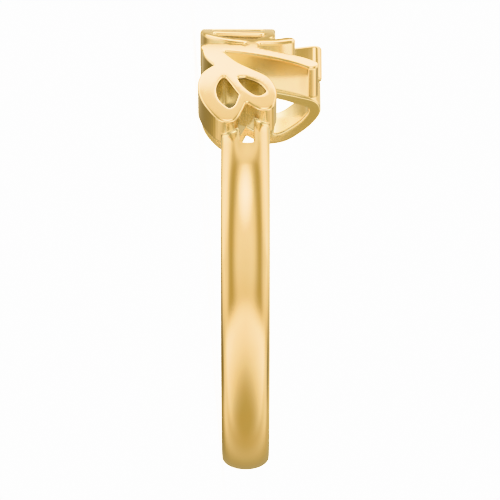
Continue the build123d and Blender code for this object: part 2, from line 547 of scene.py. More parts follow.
@dataclass
class MetalSheet:
    """A sheet of metal round the finger hole, closed along its outline by radial walls.

    Attributes:
        name: The piece's name.
        sizes: The sizes shared with the other sheet.
        outline: Its outline in the unrolled plane.
        edge: The round along its outer edges.
        inner_edge: The round along the edges of the bore.
        outer: Gives the outer surface's radius for rows of s and z.
        inside_points: Flat points between which the two surfaces are filled.
        wall_rows: How far down the wall each row of points lies, as a share.
        same_point: How near two flat points are that count as one.
    """

    name: str
    sizes: RingSizes
    outline: Outline
    edge: EdgeRound
    inner_edge: EdgeRound
    outer: Callable[[np.ndarray], np.ndarray]
    inside_points: np.ndarray
    wall_rows: tuple[float, ...] = (0.04, 0.5, 0.96)
    same_point: float = 1e-7

    def wrap(self, flat: np.ndarray, radius: np.ndarray) -> np.ndarray:
        """Wraps flat points round the hole: (r sin(s/R), -r cos(s/R), z), R the plate's radius."""
        angle = flat[:, 0] / self.sizes.plate_radius
        return np.stack([radius * np.sin(angle), -radius * np.cos(angle), flat[:, 1]], 1)

    def rim(self) -> tuple[list[np.ndarray], list[np.ndarray]]:
        """The rows that run along the outline: outer round, wall, inner round.

        Row k holds p + inset_k n for each outline point p with its inward direction n. Its
        radius is the outer surface less the round's drop, then steps down the wall, then the
        bore plus the inner round's drop.

        Returns:
            The rows' flat points, and their radii.
        """
        line = self.outline
        flats, radii = [], []
        for inset in self.edge.insets:
            flat = line.points + inset * line.inward
            flats.append(flat)
            radii.append(self.outer(flat) - self.edge.drop(inset))
        top = radii[-1]
        foot = np.full(len(top), self.sizes.bore + self.inner_edge.drop(0.0))
        for share in self.wall_rows:
            flats.append(line.points)
            radii.append(top + (foot - top) * share)
        for inset in reversed(self.edge.insets):
            flats.append(line.points + inset * line.inward)
            radii.append(np.full(len(top), self.sizes.bore + self.inner_edge.drop(inset)))
        return flats, radii

    def fill(self, innermost: np.ndarray) -> tuple[np.ndarray, np.ndarray, np.ndarray]:
        """Fills the space inside the rim with flat triangles.

        Args:
            innermost: The flat points of the rim's innermost row.

        Returns:
            The flat points that the triangles use, the number that each has in that row or -1,
            and rows of three of their numbers.
        """
        count = len(innermost)
        flat = np.vstack([innermost, self.inside_points]).tolist()
        edges = self.outline.pieces.tolist()
        every_triangle = 0
        found, _, triangles, origin, _, _ = delaunay_2d_cdt(
            flat, edges, [], every_triangle, self.same_point, True
        )
        found = np.array(found)[:, :2]
        source = np.array([o[0] if o else -1 for o in origin])
        source[source >= count] = -1
        on_rim = np.flatnonzero(source >= 0)
        number = np.full(count, -1)
        number[source[on_rim]] = on_rim
        triangles = turned_left(found, np.array(triangles))
        in_metal = left_of_line(triangles, number[self.outline.pieces], len(found))
        return found, source, triangles[in_metal]

    def build(self) -> bpy.types.Object:
        """Builds the closed sheet.

        The rim is a grid of rows by outline points. The space inside its innermost row is
        filled with triangles, once at the outer radius and once, turned over, at the bore.

        Returns:
            The sheet's object.
        """
        flats, radii = self.rim()
        count, rows = len(self.outline.points), len(flats)
        rim = np.vstack([self.wrap(f, r) for f, r in zip(flats, radii)])
        a, b = self.outline.pieces.T
        base = (np.arange(rows - 1) * count)[:, None]
        quads = np.stack([base + count + a, base + count + b, base + b, base + a], -1).reshape(-1, 4)

        found, source, triangles = self.fill(flats[0])
        fresh = np.flatnonzero(source < 0)
        outer_fill = self.wrap(found[fresh], self.outer(found[fresh]))
        inner_fill = self.wrap(found[fresh], np.full(len(fresh), self.sizes.bore))
        outer, inner = source.copy(), source + (rows - 1) * count
        outer[fresh] = len(rim) + np.arange(len(fresh))
        inner[fresh] = outer[fresh] + len(fresh)
        faces = quads.tolist() + outer[triangles].tolist() + inner[triangles][:, ::-1].tolist()
        mesh = bpy.data.meshes.new(self.name)
        mesh.from_pydata(np.vstack([rim, outer_fill, inner_fill]).tolist(), [], faces)
        mesh.validate()
        LOG.info("%s: %d points, %d faces", self.name, len(mesh.vertices), len(mesh.polygons))
        return put_in_scene(self.name, mesh)


def grid_points(low: Sequence[float], high: Sequence[float], step: Sequence[float]) -> np.ndarray:
    """An even grid of flat points.

    Args:
        low: The lowest s and z.
        high: The highest s and z.
        step: The spacing in s and z.

    Returns:
        Rows of s and z.
    """
    s = np.arange(low[0], high[0], step[0])
    z = np.arange(low[1], high[1], step[1])
    return np.stack(np.meshgrid(s, z, indexing="ij"), -1).reshape(-1, 2)


# How far in from an edge the rows of points lie that make its round
PLATE_INSETS = (0.11, 0.058, 0.022, 0.0)
SHANK_INSETS = (0.19, 0.13, 0.085, 0.05, 0.024, 0.008, 0.0)


@dataclass
class Plate:
    """The pierced plate: the flourish in metal of one thickness, with finely rounded edges.

    Attributes:
        sizes: The sizes shared with the shank.
        flourish: The plate's strokes.
        step: The spacing of the grid on which the outline is found.
        fill_step: The spacing of the points inside the rounded edge.
        fill_margin: How far those points keep from the edge's innermost row.
        end_room: How far past the plate's ends the grid reaches.
        side_room: How far past its upper and lower side.
        edge: The round along the outer edges.
        inner_edge: The round along the edges of the bore.
    """

    sizes: RingSizes
    flourish: Flourish
    step: float = 0.05
    fill_step: float = 0.16
    fill_margin: float = 0.05
    end_room: float = 0.4
    side_room: float = 0.3
    edge: EdgeRound = field(default_factory=lambda: EdgeRound(0.11, PLATE_INSETS))
    inner_edge: EdgeRound = field(default_factory=lambda: EdgeRound(0.09, PLATE_INSETS))

    def surface(self, flat: np.ndarray) -> np.ndarray:
        """The outer surface's radius: the plate's everywhere."""
        return np.full(len(flat), self.sizes.plate_radius)

    def build(self) -> bpy.types.Object:
        """Builds the plate as a closed sheet at the plate's radius.

        Returns:
            The plate's object.
        """
        reach = self.sizes.half_arc + self.end_room
        low, high = (-reach, -self.side_room), (reach, self.sizes.plate_height + self.side_room)
        outline = Outline.from_field(self.flourish.depth, low, high, self.step)
        fill = grid_points(low, high, (self.fill_step, self.fill_step))
        fill = fill[self.flourish.depth(fill)[0] < -self.edge.insets[0] - self.fill_margin]
        sheet = MetalSheet("plate", self.sizes, outline, self.edge, self.inner_edge, self.surface, fill)
        return sheet.build()


@dataclass
class Shank:
    """The half-round shank, forked at each shoulder into two prongs that run into the plate.

    Attributes:
        sizes: The sizes shared with the plate.
        flourish: The plate's strokes.
        width: The band's width.
        foot: How high its lower side lies in the drawing.
        back: Its thickness behind the finger.
        shoulder: Its thickness at the shoulders.
        dome: How far its outside is domed.
        slot: The width of the slot between two prongs.
        slot_foot: How high above the band's lower side the slot starts.
        crotch: How far along the plate's arc from its middle the slot ends.
        low_end: How far from there the lower prong's tip lies, in the plate's metal.
        high_end: How far the upper prong's tip lies.
        dish: How deep the hollow below the slot is.
        dish_half: Half the hollow's width.
        dish_run: How far along the band it fades out.
        fillet: The radius of the solder's fillet at the plate's walls.
        fillet_lap: How far the fillet reaches past them into the plate.
        plate_room: How far past the plate's end the fillet is looked for.
        polish: What polishing takes off the dome.
        tip_round: The round of the prongs' tips, which lie in the plate.
        slot_round: The round of the slot's corners.
        outline_step: The longest piece of the outline.
        fill_rows: How many rows of points the band's surface has.
        fill_margin: How far those points keep from the edge's innermost row.
        tip_room: How much further they keep from the prongs' tips.
        fork_reach: How far past the crotch the points lie closely.
        fork_step: The points' distance along the band there.
        fork_gap: The gap between those points and the rest.
        back_step: The points' distance along the rest of the band.
        edge: The round along the outer edges.
        inner_edge: The round along the edges of the bore.
    """

    sizes: RingSizes
    flourish: Flourish
    width: float = 2.18
    foot: float = 1.075
    back: float = 1.47
    shoulder: float = 1.00
    dome: float = 0.60
    slot: float = 0.62
    slot_foot: float = 0.845
    crotch: float = 10.72
    low_end: float = 9.81
    high_end: float = 9.11
    dish: float = 0.13
    dish_half: float = 0.66
    dish_run: float = 1.3
    fillet: float = 0.17
    fillet_lap: float = 0.02
    plate_room: float = 1.0
    polish: float = 0.002
    tip_round: float = 0.3
    slot_round: float = 0.09
    outline_step: float = 0.06
    fill_rows: int = 22
    fill_margin: float = 0.03
    tip_room: float = 0.12
    fork_reach: float = 1.9
    fork_step: float = 0.06
    fork_gap: float = 0.04
    back_step: float = 0.12
    edge: EdgeRound = field(default_factory=lambda: EdgeRound(0.05, SHANK_INSETS))
    inner_edge: EdgeRound = field(default_factory=lambda: EdgeRound(0.13, SHANK_INSETS))

    @property
    def middle(self) -> float:
        """The height of the shank's middle."""
        return self.foot + self.width / 2

    @property
    def slot_middle(self) -> float:
        """The height of the slot's middle."""
        return self.foot + self.slot_foot + self.slot / 2

    def circle(self) -> tuple[float, float]:
        """The circle of the shank's crown, from its radii at the back B and the shoulders S.

        The circle meets the radius B straight behind the hole and S where the plate ends, at the
        angle a from the front, so its centre lies back by (B^2 - S^2) / (2 (B + S cos a)).

        Returns:
            The circle's radius, and how far its centre lies behind the hole's.
        """
        back = self.sizes.bore + self.back
        shoulder = self.sizes.bore + self.shoulder
        forward = shoulder * math.cos(self.sizes.half_arc / self.sizes.plate_radius)
        shift = (back**2 - shoulder**2) / (2 * (back + forward))
        return back - shift, shift

    def from_front(self, s: np.ndarray) -> np.ndarray:
        """How far along the plate from its middle, on either side: s, or the round trip less s."""
        return np.minimum(s, self.sizes.round_trip - s)

    def surface(self, flat: np.ndarray) -> np.ndarray:
        """The outer surface's radius.

        Across the band the dome is an ellipse over a flat-sided foot. That gives the distance
        c from the middle of the shank's own circle, which lies back by e, so along the band
        r = -e cos t + sqrt(c^2 - e^2 sin^2 t). A dish runs from the slot down into the band
        and fades out there, and a fillet climbs to the walls of the plate: at a distance d from
        them it adds f - sqrt(f^2 - (f - d)^2), and nothing past f.

        Args:
            flat: Rows of s and z.

        Returns:
            The radii.
        """
        circle, shift = self.circle()
        across = np.clip(np.abs(flat[:, 1] - self.middle) / (self.width / 2), 0, 1)
        crown = circle - self.dome + self.dome * np.sqrt(1 - across**2)
        angle = flat[:, 0] / self.sizes.plate_radius
        radius = -shift * np.cos(angle) + np.sqrt(crown**2 - (shift * np.sin(angle)) ** 2) - self.polish

        along = np.clip((self.from_front(flat[:, 0]) - self.crotch) / self.dish_run, 0, 1)
        fade = 1 - along * along * (3 - 2 * along)
        aside = np.clip(np.abs(flat[:, 1] - self.slot_middle) / self.dish_half, 0, 1)
        radius = radius - self.dish * fade * np.cos(math.pi / 2 * aside) ** 2

        near = np.flatnonzero(self.from_front(flat[:, 0]) < self.sizes.half_arc + self.plate_room)
        s = flat[near, 0]
        wrapped = np.where(s > self.sizes.round_trip / 2, s - self.sizes.round_trip, s)
        distance = self.flourish.depth(np.stack([wrapped, flat[near, 1]], 1))[0] + self.fillet_lap
        radius[near] += quarter_round(self.fillet, distance)
        return radius

    def corners(self) -> tuple[np.ndarray, np.ndarray]:
        """The corners of the band with its four prongs.

        Returns:
            Rows of s and z, and the radius of each corner's round.
        """
        low, high = self.foot, self.foot + self.width
        slot_low, slot_high = self.foot + self.slot_foot, self.foot + self.slot_foot + self.slot
        right = [
            (self.high_end, high, self.tip_round),
            (self.high_end, slot_high, self.tip_round),
            (self.crotch, slot_high, self.slot_round),
            (self.crotch, slot_low, self.slot_round),
            (self.low_end, slot_low, self.tip_round),
            (self.low_end, low, self.tip_round),
        ]
        trip = self.sizes.round_trip
        left = [(trip - s, z, r) for s, z, r in reversed(right)]
        rows = np.array(right + left)
        return rows[:, :2], rows[:, 2]

    def fill_points(self) -> np.ndarray:
        """Grid points inside the band and the prongs, closer at the fork than round the back.

        Returns:
            Rows of s and z.
        """
        trip, margin = self.sizes.round_trip, self.edge.insets[0] + self.fill_margin
        low, high = self.foot + margin, self.foot + self.width - margin
        step = (high - low) / self.fill_rows
        fork, top = self.crotch + self.fork_reach, high + step / 2
        grids = [
            grid_points((fork, low), (trip - fork, top), (self.back_step, step)),
            grid_points((self.high_end, low), (fork - self.fork_gap, top), (self.fork_step, step)),
        ]
        mirrored = grids[1] * np.array([-1, 1]) + np.array([trip, 0])
        points = np.vstack([*grids, mirrored])
        front = self.from_front(points[:, 0])
        slot_gap = np.abs(points[:, 1] - self.slot_middle) - self.slot / 2
        in_slot = (front < self.crotch + margin) & (slot_gap < margin)
        end = np.where(points[:, 1] < self.slot_middle, self.low_end, self.high_end)
        past_end = front < end + margin + self.tip_room
        return points[~in_slot & ~past_end]

    def build(self) -> bpy.types.Object:
        """Builds the shank as a closed sheet from one shoulder round the back to the other.

        Returns:
            The shank's object.
        """
        corners, radii = self.corners()
        outline = Outline.from_corners(corners, radii, self.outline_step).facing_left()
        sheet = MetalSheet(
            "shank", self.sizes, outline, self.edge, self.inner_edge, self.surface, self.fill_points()
        )
        return sheet.build()


@dataclass(frozen=True)
class Patches:
    """Soft patches all through the metal, found from its Object coordinates.

    Attributes:
        size: How wide a patch is, in metres.
        detail: How many finer layers lie over it.
        span: The level at which a patch begins and that at which it is full.
        squash: How much narrower the patches are along each axis.
    """

    size: float
    detail: float
    span: tuple[float, float]
    squash: tuple[float, float, float] = (1, 1, 1)


class NodeBoard:
    """The nodes of a material or of the studio's light, with short ways to add and join them."""

    def __init__(self, tree: bpy.types.NodeTree) -> None:
        """Clears the board."""
        tree.nodes.clear()
        self.tree = tree

    def add(self, kind: str) -> bpy.types.Node:
        """Adds a node of a kind."""
        return self.tree.nodes.new(kind)

    def join(self, source: Socket, target: Socket) -> None:
        """Leads an output to an input."""
        self.tree.links.new(source, target)

    def maths(self, operation: str, *values: Socket | float) -> Socket:
        """Works a value out of one to three others.

        Args:
            operation: What is done with them.
            values: Outputs of other nodes, or plain numbers.

        Returns:
            The output that gives the result.
        """
        node = self.add("ShaderNodeMath")
        node.operation = operation
        for value, socket in zip(values, node.inputs):
            if isinstance(value, (int, float)):
                socket.default_value = value
            else:
                self.join(value, socket)
        return node.outputs[0]

    def spread(self, source: Socket, span: tuple[float, float], onto: tuple[float, float]) -> Socket:
        """Maps a span of values onto another, and holds it at both ends.

        Args:
            source: The value.
            span: Where the span starts and ends.
            onto: What those two become.

        Returns:
            The output that gives the result.
        """
        node = self.add("ShaderNodeMapRange")
        for name, value in zip(("From Min", "From Max", "To Min", "To Max"), (*span, *onto)):
            node.inputs[name].default_value = value
        self.join(source, node.inputs["Value"])
        return node.outputs["Result"]

    def blend(self, share: Socket, first: Socket | Colour, second: Socket | Colour) -> Socket:
        """Mixes two colours.

        Args:
            share: How much of the second there is.
            first: A colour, or the output that gives it.
            second: The other one.

        Returns:
            The output that gives the mixed colour.
        """
        node = self.add("ShaderNodeMix")
        node.data_type = "RGBA"
        self.join(share, node.inputs["Factor"])
        for colour, name in ((first, "A"), (second, "B")):
            if isinstance(colour, tuple):
                node.inputs[name].default_value = (*colour, 1)
            else:
                self.join(colour, node.inputs[name])
        return node.outputs["Result"]

    def stored(self, name: str) -> Socket:
        """Reads a value that is stored at the mesh's points.

        Args:
            name: The attribute's name.

        Returns:
            The output that gives the value.
        """
        node = self.add("ShaderNodeAttribute")
        node.attribute_name = name
        return node.outputs["Fac"]

    def clouds(self, patches: Patches) -> Socket:
        """Draws soft patches.

        Args:
            patches: What they are like.

        Returns:
            The output that gives their level, from 0 to 1 with most of it between 0.3 and 0.7.
        """
        mapping = self.add("ShaderNodeMapping")
        mapping.inputs["Scale"].default_value = patches.squash
        self.join(self.add("ShaderNodeTexCoord").outputs["Object"], mapping.inputs["Vector"])
        noise = self.add("ShaderNodeTexNoise")
        noise.inputs["Scale"].default_value = 1 / patches.size
        noise.inputs["Detail"].default_value = patches.detail
        self.join(mapping.outputs["Vector"], noise.inputs["Vector"])
        return noise.outputs["Fac"]


@dataclass(frozen=True)
class PolishedGold:
    """Yellow gold off the polishing wheel: deep colour, a soft gloss, hair-fine wheel marks, and a painted
    paler colour in recesses that offsets the warm light bouncing between the gold walls.

    Attributes:
        name: The material's name.
        body: The gold's colour.
        deep: Its paler colour painted into recesses, to offset the warm light that bounces between the
            gold walls there.
        rubbed: Its brighter colour on rubbed edges.
        gloss: The roughness of the polished faces.
        satin: How much rougher the recesses are.
        haze: How much rougher the haziest patches are.
        mark_haze: How much rougher the deepest wheel marks are.
        rubbed_gloss: How much smoother the rubbed edges are.
        pale_patches: The patches of paler gold.
        pale_share: How much of the paler colour they have.
        recess_painted_paling: How much of the painted paler colour the recesses have, against the warm
            light bouncing between the gold walls.
        wear_patches: The patches of wear along an edge.
        wear_shares: How rubbed an edge is between them and in them.
        hazy_patches: The patches of haze.
        wheel_marks: The wheel marks, drawn as long thin patches.
        mark_depth: How deep a wheel mark is, in metres.
        mark_strength: How strongly it catches the light.
    """

    name: str = "gold"
    body: Colour = (0.98, 0.77, 0.50)
    deep: Colour = (0.90, 0.83, 0.65)
    rubbed: Colour = (0.98, 0.84, 0.62)
    gloss: float = 0.08
    satin: float = 0.14
    haze: float = 0.04
    mark_haze: float = 0.03
    rubbed_gloss: float = 0.05
    pale_patches: Patches = Patches(0.0021, 3, (0.35, 0.65))
    pale_share: float = 0.25
    recess_painted_paling: float = 0.75
    wear_patches: Patches = Patches(0.0006, 3, (0.35, 0.6))
    wear_shares: tuple[float, float] = (0.3, 0.9)
    hazy_patches: Patches = Patches(0.0009, 4, (0.3, 0.7))
    wheel_marks: Patches = Patches(0.00005, 2, (0.4, 0.7), (1, 1, 9))
    mark_depth: float = 0.0000012
    mark_strength: float = 0.35

    def colour(self, board: NodeBoard, recess: Socket, wear: Socket) -> Socket:
        """The gold's colour: its own, paler in patches, painted paler in recesses against the warm light
        that bounces between the gold walls, brighter on rubbed edges.

        Args:
            board: The material's nodes.
            recess: How shut in the metal is.
            wear: How rubbed it is.

        Returns:
            The output that gives the colour.
        """
        patches = self.pale_patches
        patchy = board.spread(board.clouds(patches), patches.span, (0.0, self.pale_share))
        # random pale patches plus a painted paling in recesses, which offsets the warm bounce light there
        pale = board.maths("ADD", patchy, board.spread(recess, (0.0, 1.0), (0.0, self.recess_painted_paling)))
        return board.blend(wear, board.blend(pale, self.body, self.deep), self.rubbed)

    def roughness(self, board: NodeBoard, recess: Socket, wear: Socket, marks: Socket) -> Socket:
        """The gold's roughness: gloss, haze, wheel marks and satin recesses, less the rubbing.

        Args:
            board: The material's nodes.
            recess: How shut in the metal is.
            wear: How rubbed it is.
            marks: The height of the wheel marks.

        Returns:
            The output that gives the roughness.
        """
        clouds = board.clouds(self.hazy_patches)
        hazy = board.spread(clouds, self.hazy_patches.span, (self.gloss, self.gloss + self.haze))
        scratches = board.spread(marks, self.wheel_marks.span, (0.0, self.mark_haze))
        marked = board.maths("ADD", hazy, scratches)
        satin = board.maths("ADD", marked, board.spread(recess, (0.0, 1.0), (0.0, self.satin)))
        return board.maths("SUBTRACT", satin, board.spread(wear, (0.0, 1.0), (0.0, self.rubbed_gloss)))

    def build(self) -> bpy.types.Material:
        """Makes the material.

        Returns:
            The gold.
        """
        material = bpy.data.materials.new(self.name)
        material.use_nodes = True
        board = NodeBoard(material.node_tree)
        out = board.add("ShaderNodeOutputMaterial")
        metal = board.add("ShaderNodeBsdfPrincipled")
        metal.inputs["Metallic"].default_value = 1.0
        recess = board.stored("recess")
        patchy = board.spread(board.clouds(self.wear_patches), self.wear_patches.span, self.wear_shares)
        wear = board.maths("MULTIPLY", board.stored("edges"), patchy)
        marks = board.clouds(self.wheel_marks)
        board.join(self.colour(board, recess, wear), metal.inputs["Base Color"])
        board.join(self.roughness(board, recess, wear, marks), metal.inputs["Roughness"])
        bump = board.add("ShaderNodeBump")
        bump.inputs["Strength"].default_value = self.mark_strength
        bump.inputs["Distance"].default_value = self.mark_depth
        board.join(marks, bump.inputs["Height"])
        board.join(bump.outputs["Normal"], metal.inputs["Normal"])
        board.join(metal.outputs["BSDF"], out.inputs["Surface"])
        return material


def read_points(mesh: bpy.types.Mesh) -> np.ndarray:
    """Reads a mesh's points.

    Args:
        mesh: The mesh.

    Returns:
        Rows of x, y and z.
    """
    flat = np.empty(len(mesh.vertices) * 3)
    mesh.vertices.foreach_get("co", flat)
    return flat.reshape(-1, 3)


@dataclass
class FlourishRing:
    """The whole ring: plate and shank joined into one body, laid on its side and dressed.

    Attributes:
        plate: The pierced plate.
        shank: The forked shank.
        place: Where the ring rests.
        finish: What it is made of.
        crease: The angle from which an edge stays sharp, in degrees.
        rim: How wide the rubbed edge is, and how near the outline counts as wall.
        gap: How far across an opening metal may be and still shut it in.
        shade_depth: How far down the wall it counts as fully deep.
        corner: How far from the plate the shank's corner beside it reaches.
        fork_look: How far out from a wall the fork is looked for.
        fork_lead: How far before the prongs' tips the fork counts.
        fork_fade: Over which length it comes to count.
        band_room: How far past the shank's sides it counts.
        band_fade: Over which length it ceases to count there.
        bore_satin_and_paling: How shut in the bore counts, for its satin and its painted paler colour.
        bore_skin: How far out from the bore it begins to count, and over which length.
    """

    plate: Plate
    shank: Shank
    place: RestingPlace
    finish: PolishedGold
    crease: float = 50
    rim: float = 0.12
    gap: float = 1.1
    shade_depth: float = 0.15
    corner: float = 0.7
    fork_look: float = 0.5
    fork_lead: float = 0.8
    fork_fade: float = 0.5
    band_room: float = 0.1
    band_fade: float = 0.3
    bore_satin_and_paling: float = 0.5
    bore_skin: tuple[float, float] = (0.1, 0.05)

    def build(self) -> bpy.types.Object:
        """Builds, joins, lays down and dresses the ring.

        Returns:
            The finished ring.
        """
        body = self.join(self.plate.build(), self.shank.build())
        self.mark_polish_and_painted_paling(body.data)
        drawn = read_points(body.data)
        body.data.vertices.foreach_set("co", (self.place.apply(drawn) * MM).reshape(-1))
        body.data.update()
        body.data.materials.clear()
        body.data.materials.append(self.finish.build())
        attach(body, "root")
        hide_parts("flourish_ring")
        return body

    def join(self, plate: bpy.types.Object, shank: bpy.types.Object) -> bpy.types.Object:
        """Solders the shank's prongs into the plate.

        Args:
            plate: The closed plate.
            shank: The closed shank.

        Returns:
            One closed body.
        """
        union = plate.modifiers.new("solder", "BOOLEAN")
        union.operation = "UNION"
        union.solver = "EXACT"
        union.object = shank
        bpy.context.view_layer.update()
        soldered = plate.evaluated_get(bpy.context.evaluated_depsgraph_get())
        mesh = bpy.data.meshes.new_from_object(soldered)
        mesh.name = "gold_ring"
        for old in (plate, shank):
            bpy.data.objects.remove(old)
        mesh.shade_smooth()
        mesh.set_sharp_from_angle(angle=math.radians(self.crease))
        return put_in_scene("gold_ring", mesh)

    def mark_polish_and_painted_paling(self, mesh: bpy.types.Mesh) -> None:
        """Stores how shut in each point is, and how near an edge, as "recess" and "edges": the first sets
        the recesses' satin and their painted paler colour, the second the wear on edges.

        Args:
            mesh: The ring, still as drawn.
        """
        points = read_points(mesh)
        radius = np.hypot(points[:, 0], points[:, 1])
        angle = np.arctan2(points[:, 0], -points[:, 1])
        flat = np.stack([angle * self.plate.sizes.plate_radius, points[:, 2]], 1)
        distance, out = self.plate.flourish.depth(flat)
        for name, value in (
            ("recess", self.recess(flat, radius, distance, out)),
            ("edges", self.rubbed_edges(flat, radius, distance)),
        ):
            mesh.attributes.new(name, "FLOAT", "POINT").data.foreach_set("value", value.astype(np.float32))

    def in_bore(self, radius: np.ndarray) -> np.ndarray:
        """How shut in the bore counts, for its satin and its painted paler colour: h times (b + a - r) /
        w, held between 0 and h.

        Args:
            radius: Each point's distance from the middle of the hole.

        Returns:
            The shares.
        """
        reach, width = self.bore_skin
        return self.bore_satin_and_paling * np.clip((self.plate.sizes.bore + reach - radius) / width, 0, 1)

    def recess(
        self, flat: np.ndarray, radius: np.ndarray, distance: np.ndarray, out: np.ndarray
    ) -> np.ndarray:
        """How shut in each point is, from 0 to 1, which gives the recesses their satin and their painted
        paler colour.

        A point of a wall counts as deep from 0 at the face to 1 a little below it. It counts as
        shut in from 0 to 1 as the metal across the opening comes nearer, found by a step
        straight out from the wall, and also where a shorter step comes to the shank's fork. The
        depth is multiplied by the larger of the two. The shank counts by 1 - d/c at a distance d
        beside the plate, and the bore by its own share. The largest of the three holds.

        Args:
            flat: Rows of s and z.
            radius: Each point's distance from the middle of the hole.
            distance: Its distance from the flourish's outline, negative inside.
            out: The direction straight out of the flourish.

        Returns:
            The shares.
        """
        below = np.clip((self.plate.sizes.plate_radius - radius) / self.shade_depth, 0, 1)
        on_wall = np.abs(distance) < self.rim
        across = self.plate.flourish.depth(flat + self.gap * out)[0]
        shut_in = np.clip((self.gap - across) / (self.gap - self.rim), 0, 1)
        beyond = flat + self.fork_look * out
        at_fork = (np.abs(beyond[:, 0]) - self.shank.high_end + self.fork_lead) / self.fork_fade
        from_middle = np.abs(beyond[:, 1] - self.shank.middle)
        in_band = (self.shank.width / 2 + self.band_room - from_middle) / self.band_fade
        shut_in = np.maximum(shut_in, np.clip(at_fork, 0, 1) * np.clip(in_band, 0, 1))
        beside = np.clip(1 - distance / self.corner, 0, 1) * (distance > self.rim)
        share = np.maximum(below * on_wall * shut_in, below * beside)
        return np.maximum(share, self.in_bore(radius))

    def rubbed_edges(self, flat: np.ndarray, radius: np.ndarray, distance: np.ndarray) -> np.ndarray:
        """How rubbed each point is, from 0 to 1.

        Wear rubs an edge bright: on the plate by 1 + d/w at a distance -d in from the outline,
        less its share down the wall, and on the shank by 1 - e/w at a distance e from its upper
        or lower side, less the bore's share.

        Args:
            flat: Rows of s and z.
            radius: Each point's distance from the middle of the hole.
            distance: Its distance from the flourish's outline, negative inside.

        Returns:
            The shares.
        """
        in_from_edge = np.clip(1 + distance / self.rim, 0, 1) * (distance < self.rim)
        down = (self.plate.sizes.plate_radius - radius) / (2 * self.rim)
        on_plate = in_from_edge * np.clip(1 - down, 0, 1)
        from_side = self.shank.width / 2 - np.abs(flat[:, 1] - self.shank.middle)
        on_shank = np.clip(1 - from_side / self.rim, 0, 1) * (distance > self.rim)
        return np.maximum(on_plate, on_shank * (1 - self.in_bore(radius)))


class Stand(Enum):
    """What stands round the ring.

    A lamp adds white light, a flag holds the lamps before it back, and a dark card hides both
    them and the amber room.
    """

    LAMP = "lamp"
    FLAG = "flag"
    CARD = "card"


@dataclass(frozen=True)
class SoftPanel:
    """A soft lamp, a flag or a dark card round the ring, placed as seen from the ring's middle.

    Angles are in degrees from the way to the camera: across to the picture's right, and up.
    With a and b the angles from the panel's middle, its shape is |a/w|^p + |b/h|^p = 1, an
    ellipse where p is 2 and nearly a box where p is 6. Its rim fades over the given share of its
    size, and its strength is the lamp's light or the share that a flag or a card holds back.
    """

    name: str
    kind: Stand
    across: float
    up: float
    half_width: float
    half_height: float
    power: float
    fade: float
    strength: float

    @classmethod
    def pair(cls, name: str, kind: Stand, across: float, *rest: float) -> tuple["SoftPanel", "SoftPanel"]:
        """The same panel on the left and on the right."""
        return cls("left " + name, kind, -across, *rest), cls("right " + name, kind, across, *rest)

    def level(self, board: NodeBoard, sideways: Socket, upward: Socket) -> Socket:
        """What the panel gives along each way looked.

        The way's size is (|a/w|^p + |b/h|^p)^(1/p), and the level runs smoothly from the
        panel's own, where the size is 1 - f, to that of the empty room, where it is 1 + f. A
        panel that fades over its whole size ends at its shape's line instead.

        Args:
            board: The light's nodes.
            sideways: The angle across.
            upward: The angle up.

        Returns:
            The output that gives a lamp's light, or the share that a flag or a card lets by.
        """
        parts = []
        for value, middle, half in (
            (sideways, self.across, self.half_width),
            (upward, self.up, self.half_height),
        ):
            short_way = board.maths("WRAP", board.maths("SUBTRACT", value, middle), 180.0, -180.0)
            share = board.maths("DIVIDE", board.maths("ABSOLUTE", short_way), half)
            parts.append(board.maths("POWER", share, self.power))
        ramp = board.add("ShaderNodeMapRange")
        ramp.interpolation_type = "SMOOTHSTEP"
        lamp = self.kind is Stand.LAMP
        for name, value in (
            ("From Min", 1 - self.fade),
            ("From Max", 1 if self.fade == 1 else 1 + self.fade),
            ("To Min", self.strength if lamp else 1 - self.strength),
            ("To Max", 0.0 if lamp else 1.0),
        ):
            ramp.inputs[name].default_value = value
        board.join(board.maths("POWER", board.maths("ADD", *parts), 1 / self.power), ramp.inputs["Value"])
        return ramp.outputs["Result"]


PANELS = (
    SoftPanel("front glow", Stand.LAMP, 0, 34, 22, 22, 2, 1.0, 3.8),
    SoftPanel("front column", Stand.LAMP, 0, -1, 28, 56, 1.65, 0.5, 1.15),
    SoftPanel("low arch", Stand.LAMP, 0, -71, 55, 45, 1.8, 0.15, 3.0),
    SoftPanel("low arch, wide", Stand.LAMP, 0, -87, 59, 58, 2.5, 0.2, 2.1),
    SoftPanel("dark stand", Stand.FLAG, 0, -97, 72, 108, 1.75, 0.92, 1.0),
    *SoftPanel.pair("wall", Stand.LAMP, 82, 96, 43, 78, 1.6, 0.4, 0.85),
    *SoftPanel.pair("fill", Stand.LAMP, 76, 10, 23, 75, 6, 0.4, 0.25),
    *SoftPanel.pair("low fill", Stand.LAMP, 99, -100, 27, 87, 5, 0.9, 0.6),
    SoftPanel("overhead", Stand.LAMP, 0, 113, 38, 18, 3, 0.45, 3.1),
    SoftPanel("top edge", Stand.LAMP, 0, 94, 74, 26, 6, 0.64, 0.6),
    SoftPanel("back fill", Stand.LAMP, 16, 178, 50, 26, 2, 0.8, 0.45),
    SoftPanel("low flag", Stand.FLAG, 0, -160, 36, 24, 3, 0.6, 0.8),
    SoftPanel("low card", Stand.CARD, 0, -172, 22, 22, 2, 0.8, 0.25),
    SoftPanel("left card", Stand.CARD, -40, -168, 20, 16, 3, 0.7, 0.45),
    *SoftPanel.pair("edge card", Stand.CARD, 58, -144, 11, 22, 2, 0.7, 0.5),
)


